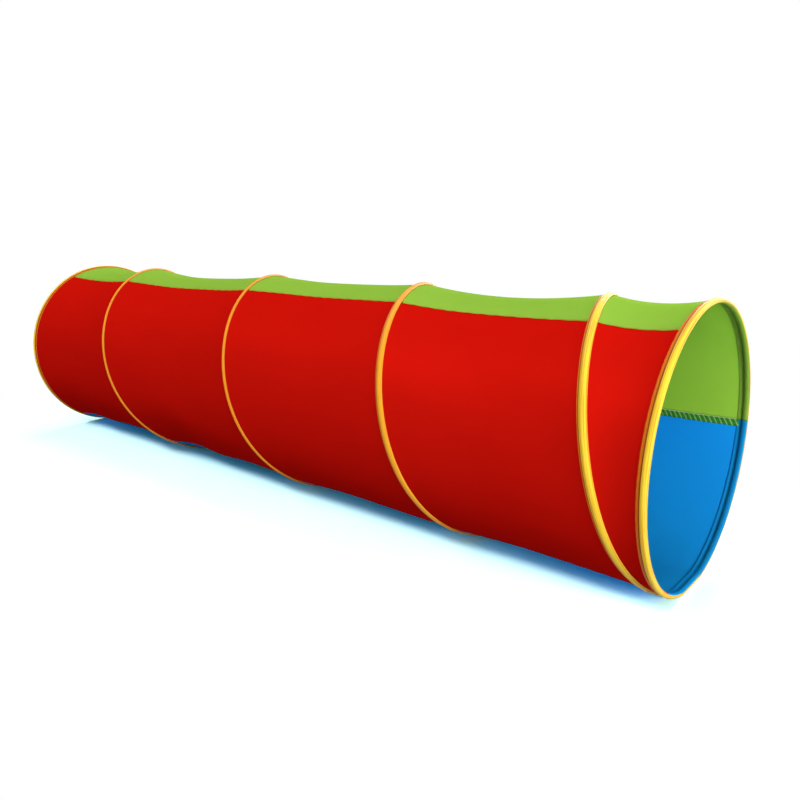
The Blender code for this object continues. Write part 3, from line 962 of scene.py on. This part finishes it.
def make_floor():
    """A white floor that shows the tunnel's shadow near it, with a painted cyan tint and a painted teal glow
    in that shadow, and is plain white further off.
    """
    mesh = bpy.data.meshes.new("floor")
    corners = [(sx * FLOOR_SIZE, sy * FLOOR_SIZE, 0) for sx, sy in ((-1, -1), (1, -1), (1, 1), (-1, 1))]
    mesh.from_pydata(corners, [], [(0, 1, 2, 3)])
    floor = bpy.data.objects.new("floor", mesh)
    bpy.context.scene.collection.objects.link(floor)
    material = bpy.data.materials.new("floor")
    material.use_nodes = True
    tree = material.node_tree
    tree.nodes.clear()
    plain = add_node(tree, "ShaderNodeBsdfDiffuse", {"Color": (*FLOOR_BOUNCE, 1)}).outputs[0]
    # To the eye the lit floor is tinted cyan and given a faint glow: painted cyan light in the shadow
    lit = add_node(tree, "ShaderNodeBsdfDiffuse", {"Color": (*FLOOR_LIT, 1)}).outputs[0]
    shade = add_node(tree, "ShaderNodeEmission", {"Color": (*FLOOR_SHADE, 1)}).outputs[0]
    white = add_node(tree, "ShaderNodeEmission", {"Color": (1, 1, 1, 1)}).outputs[0]
    gloss = add_node(tree, "ShaderNodeBsdfDiffuse", {"Color": (*FLOOR_GLOSS, 1)}).outputs[0]
    camera_ray = add_node(tree, "ShaderNodeLightPath").outputs["Is Camera Ray"]
    near = add_node(tree, "ShaderNodeAddShader", {0: lit, 1: shade}).outputs[0]
    near = add_node(tree, "ShaderNodeMixShader", {0: camera_ray, 1: gloss, 2: near}).outputs[0]
    place = add_node(tree, "ShaderNodeTexCoord").outputs["Object"]
    stretch = (1 / FLOOR_FADE[0], 1 / FLOOR_FADE[1], 0)
    squeezed = add_node(tree, "ShaderNodeVectorMath", {0: place, 1: stretch}, operation="MULTIPLY").outputs[0]
    away = add_node(tree, "ShaderNodeVectorMath", {0: squeezed}, operation="LENGTH").outputs["Value"]
    first, last = FLOOR_FADE_SHARES
    fade = smooth_step(tree, away, first, last)
    shown = add_node(tree, "ShaderNodeMixShader", {0: fade, 1: near, 2: white}).outputs[0]
    mix = add_node(tree, "ShaderNodeMixShader", {0: seen_by_eye(tree), 1: plain, 2: shown}).outputs[0]
    add_node(tree, "ShaderNodeOutputMaterial", {"Surface": mix})
    mesh.materials.append(material)


def make_world():
    """A soft pale fill for the tunnel, which the eye sees as white."""
    world = bpy.data.worlds.new("studio")
    world.use_nodes = True
    tree = world.node_tree
    tree.nodes.clear()
    fill = add_node(tree, "ShaderNodeBackground", {"Color": (*FILL_COLOUR, 1), "Strength": FILL_STRENGTH})
    white = add_node(tree, "ShaderNodeBackground", {"Color": (1, 1, 1, 1)})
    shown = {0: seen_by_eye(tree), 1: fill.outputs[0], 2: white.outputs[0]}
    mix = add_node(tree, "ShaderNodeMixShader", shown)
    add_node(tree, "ShaderNodeOutputWorld", {"Surface": mix.outputs[0]})
    bpy.context.scene.world = world


def make_lights():
    """Softboxes that all face the tunnel's middle."""
    middle = Vector((0, 0, CENTRE_HEIGHT))
    for name, (place, size, power) in SOFTBOXES.items():
        lamp = bpy.data.lights.new(f"{name}_softbox", "AREA")
        lamp.shape = "RECTANGLE"
        lamp.size, lamp.size_y = size
        lamp.energy = power
        softbox = bpy.data.objects.new(f"{name}_softbox", lamp)
        softbox.location = place
        softbox.rotation_euler = (middle - Vector(place)).to_track_quat("-Z", "Y").to_euler()
        bpy.context.scene.collection.objects.link(softbox)


def make_camera():
    """The camera that the photograph was matched with."""
    forward = Vector((
        math.sin(CAMERA_HEADING) * math.cos(CAMERA_PITCH),
        math.cos(CAMERA_HEADING) * math.cos(CAMERA_PITCH),
        math.sin(CAMERA_PITCH),
    ))
    right = forward.cross(Vector((0, 0, 1))).normalized()
    turned = Matrix((right, right.cross(forward), -forward)).transposed()
    turned = turned @ Matrix.Rotation(CAMERA_ROLL, 3, "Z")
    camera = bpy.data.objects.new("camera", bpy.data.cameras.new("camera"))
    camera.matrix_world = Matrix.Translation(CAMERA_PLACE) @ turned.to_4x4()
    camera.data.lens = CAMERA_LENS
    camera.data.sensor_width = SENSOR_WIDTH
    bpy.context.scene.collection.objects.link(camera)
    bpy.context.scene.camera = camera


make_camera()
make_world()
make_lights()
make_floor()
make_tunnel(make_materials())
